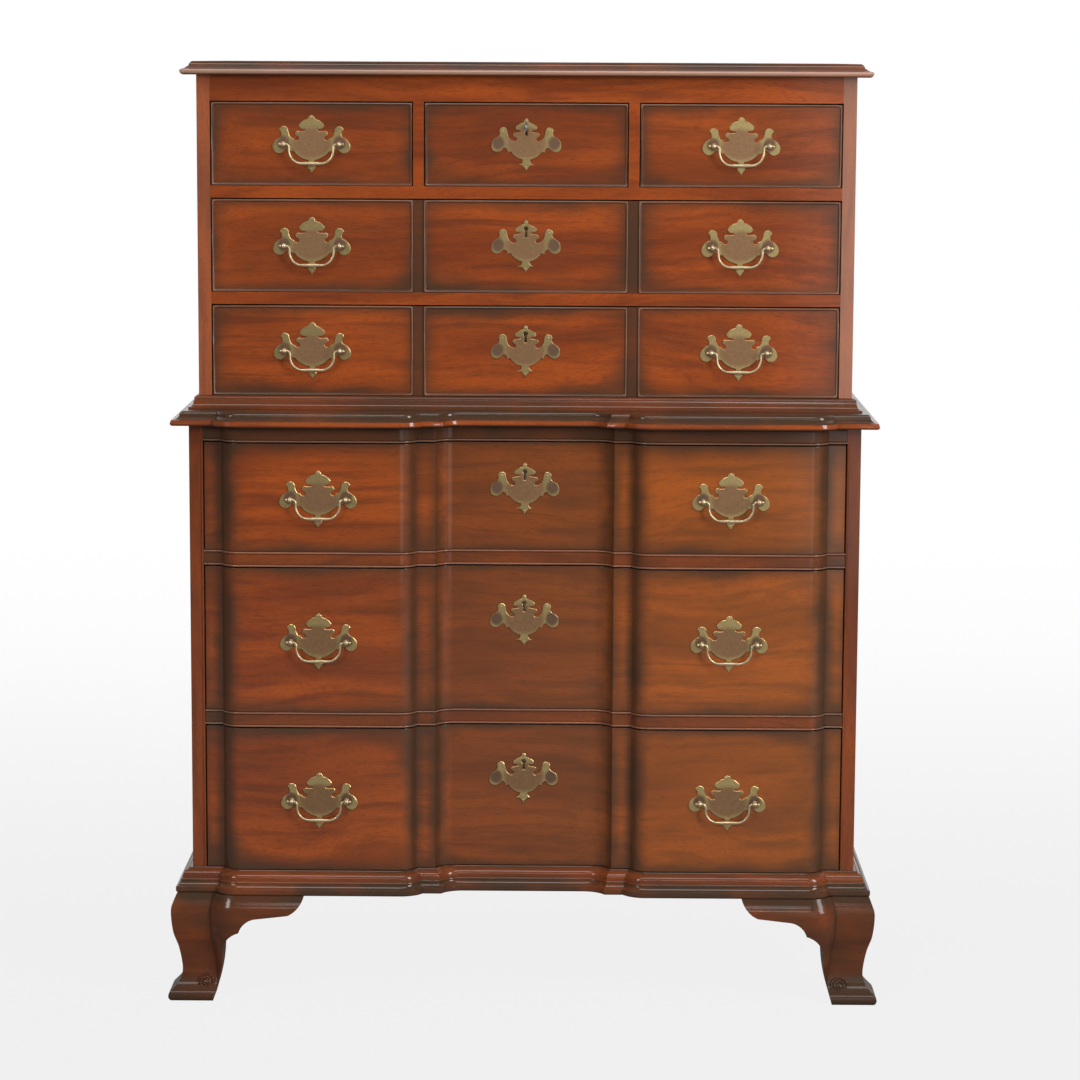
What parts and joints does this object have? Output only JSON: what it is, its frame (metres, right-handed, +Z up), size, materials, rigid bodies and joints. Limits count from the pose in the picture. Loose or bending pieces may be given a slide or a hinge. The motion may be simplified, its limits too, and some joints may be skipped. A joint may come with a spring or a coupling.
{
  "type": "block-front chest on chest",
  "caption": "Chest on chest: flat-fronted upper case of drawers on a blocked lower case with ogee bracket feet and brass bail pulls.",
  "frame": {"origin": "on the floor, in the middle of the overall width and depth", "axes": "+Z up, front of the chest towards -Y, +X to the right seen from the front"},
  "size_m": [1.0322, 0.5372, 1.357],
  "materials": {
    "mahogany": "gloss lacquer over toned mahogany",
    "drawer_lining": "thin clear finish on pale secondary wood",
    "brass": "antique satin brass",
    "key_steel": "dull nickel-plated steel"
  },
  "bodies": {
    "case": {"upper_top": "mahogany", "upper_sides": "mahogany", "upper_rails": "mahogany", "upper_runners": "drawer_lining", "upper_bottom_board": "drawer_lining", "upper_back_panel": "drawer_lining", "upper_base_moulding": "mahogany", "waist_top": "mahogany", "lower_sides": "mahogany", "lower_rails": "mahogany", "lower_runners": "drawer_lining", "lower_bottom_board": "drawer_lining", "lower_back_panel": "drawer_lining", "base_moulding": "mahogany", "foot_front_left": "mahogany", "foot_front_right": "mahogany", "foot_rear_left": "mahogany", "foot_rear_right": "mahogany"},
    "drawer_top_left": {"drawer_front_top_left": "mahogany", "drawer_box_top_left": "drawer_lining", "pulls_top_left": "brass"},
    "bail_top_left": {"bail_top_left": "brass"},
    "drawer_top_center": {"drawer_front_top_center": "mahogany", "drawer_box_top_center": "drawer_lining", "lock_top_center": "brass"},
    "key": {"key": "key_steel"},
    "drawer_top_right": {"drawer_front_top_right": "mahogany", "drawer_box_top_right": "drawer_lining", "pulls_top_right": "brass"},
    "bail_top_right": {"bail_top_right": "brass"},
    "drawer_upper_middle": {"drawer_front_upper_middle": "mahogany", "drawer_box_upper_middle": "drawer_lining", "pulls_upper_middle": "brass", "lock_upper_middle": "brass"},
    "bail_upper_middle_left": {"bail_upper_middle_left": "brass"},
    "bail_upper_middle_right": {"bail_upper_middle_right": "brass"},
    "drawer_upper_bottom": {"drawer_front_upper_bottom": "mahogany", "drawer_box_upper_bottom": "drawer_lining", "pulls_upper_bottom": "brass", "lock_upper_bottom": "brass"},
    "bail_upper_bottom_left": {"bail_upper_bottom_left": "brass"},
    "bail_upper_bottom_right": {"bail_upper_bottom_right": "brass"},
    "drawer_lower_top": {"drawer_front_lower_top": "mahogany", "drawer_box_lower_top": "drawer_lining", "pulls_lower_top": "brass", "lock_lower_top": "brass"},
    "bail_lower_top_left": {"bail_lower_top_left": "brass"},
    "bail_lower_top_right": {"bail_lower_top_right": "brass"},
    "drawer_lower_middle": {"drawer_front_lower_middle": "mahogany", "drawer_box_lower_middle": "drawer_lining", "pulls_lower_middle": "brass", "lock_lower_middle": "brass"},
    "bail_lower_middle_left": {"bail_lower_middle_left": "brass"},
    "bail_lower_middle_right": {"bail_lower_middle_right": "brass"},
    "drawer_lower_bottom": {"drawer_front_lower_bottom": "mahogany", "drawer_box_lower_bottom": "drawer_lining", "pulls_lower_bottom": "brass", "lock_lower_bottom": "brass"},
    "bail_lower_bottom_left": {"bail_lower_bottom_left": "brass"},
    "bail_lower_bottom_right": {"bail_lower_bottom_right": "brass"}
  },
  "joints": [
    {"name": "slide_top_left", "type": "slide", "parent": "case", "child": "drawer_top_left", "axis": [0, -1, 0], "range_m": [0, 0.3]},
    {"name": "swing_top_left", "type": "hinge", "parent": "drawer_top_left", "child": "bail_top_left", "pos_m": [-0.30625, -0.19639, 1.24055], "axis": [-1, 0, 0], "range_deg": [0, 100]},
    {"name": "slide_top_center", "type": "slide", "parent": "case", "child": "drawer_top_center", "axis": [0, -1, 0], "range_m": [0, 0.3]},
    {"name": "turn_key", "type": "hinge", "parent": "drawer_top_center", "child": "key", "pos_m": [0, -0.18639, 1.26645], "axis": [0, 1, 0], "range_deg": [0, 90]},
    {"name": "slide_top_right", "type": "slide", "parent": "case", "child": "drawer_top_right", "axis": [0, -1, 0], "range_m": [0, 0.3]},
    {"name": "swing_top_right", "type": "hinge", "parent": "drawer_top_right", "child": "bail_top_right", "pos_m": [0.30625, -0.19639, 1.24055], "axis": [-1, 0, 0], "range_deg": [0, 100]},
    {"name": "slide_upper_middle", "type": "slide", "parent": "case", "child": "drawer_upper_middle", "axis": [0, -1, 0], "range_m": [0, 0.3]},
    {"name": "swing_upper_middle_left", "type": "hinge", "parent": "drawer_upper_middle", "child": "bail_upper_middle_left", "pos_m": [-0.30625, -0.19639, 1.09595], "axis": [-1, 0, 0], "range_deg": [0, 100]},
    {"name": "swing_upper_middle_right", "type": "hinge", "parent": "drawer_upper_middle", "child": "bail_upper_middle_right", "pos_m": [0.30625, -0.19639, 1.09595], "axis": [-1, 0, 0], "range_deg": [0, 100]},
    {"name": "slide_upper_bottom", "type": "slide", "parent": "case", "child": "drawer_upper_bottom", "axis": [0, -1, 0], "range_m": [0, 0.3]},
    {"name": "swing_upper_bottom_left", "type": "hinge", "parent": "drawer_upper_bottom", "child": "bail_upper_bottom_left", "pos_m": [-0.30625, -0.19639, 0.9456], "axis": [-1, 0, 0], "range_deg": [0, 100]},
    {"name": "swing_upper_bottom_right", "type": "hinge", "parent": "drawer_upper_bottom", "child": "bail_upper_bottom_right", "pos_m": [0.30625, -0.19639, 0.9456], "axis": [-1, 0, 0], "range_deg": [0, 100]},
    {"name": "slide_lower_top", "type": "slide", "parent": "case", "child": "drawer_lower_top", "axis": [0, -1, 0], "range_m": [0, 0.32]},
    {"name": "swing_lower_top_left", "type": "hinge", "parent": "drawer_lower_top", "child": "bail_lower_top_left", "pos_m": [-0.2954, -0.24839, 0.73705], "axis": [-1, 0, 0], "range_deg": [0, 100]},
    {"name": "swing_lower_top_right", "type": "hinge", "parent": "drawer_lower_top", "child": "bail_lower_top_right", "pos_m": [0.2954, -0.24839, 0.73705], "axis": [-1, 0, 0], "range_deg": [0, 100]},
    {"name": "slide_lower_middle", "type": "slide", "parent": "case", "child": "drawer_lower_middle", "axis": [0, -1, 0], "range_m": [0, 0.32]},
    {"name": "swing_lower_middle_left", "type": "hinge", "parent": "drawer_lower_middle", "child": "bail_lower_middle_left", "pos_m": [-0.2954, -0.24839, 0.5302], "axis": [-1, 0, 0], "range_deg": [0, 100]},
    {"name": "swing_lower_middle_right", "type": "hinge", "parent": "drawer_lower_middle", "child": "bail_lower_middle_right", "pos_m": [0.2954, -0.24839, 0.5302], "axis": [-1, 0, 0], "range_deg": [0, 100]},
    {"name": "slide_lower_bottom", "type": "slide", "parent": "case", "child": "drawer_lower_bottom", "axis": [0, -1, 0], "range_m": [0, 0.32]},
    {"name": "swing_lower_bottom_left", "type": "hinge", "parent": "drawer_lower_bottom", "child": "bail_lower_bottom_left", "pos_m": [-0.2954, -0.24839, 0.29675], "axis": [-1, 0, 0], "range_deg": [0, 100]},
    {"name": "swing_lower_bottom_right", "type": "hinge", "parent": "drawer_lower_bottom", "child": "bail_lower_bottom_right", "pos_m": [0.2954, -0.24839, 0.29675], "axis": [-1, 0, 0], "range_deg": [0, 100]}
  ]
}
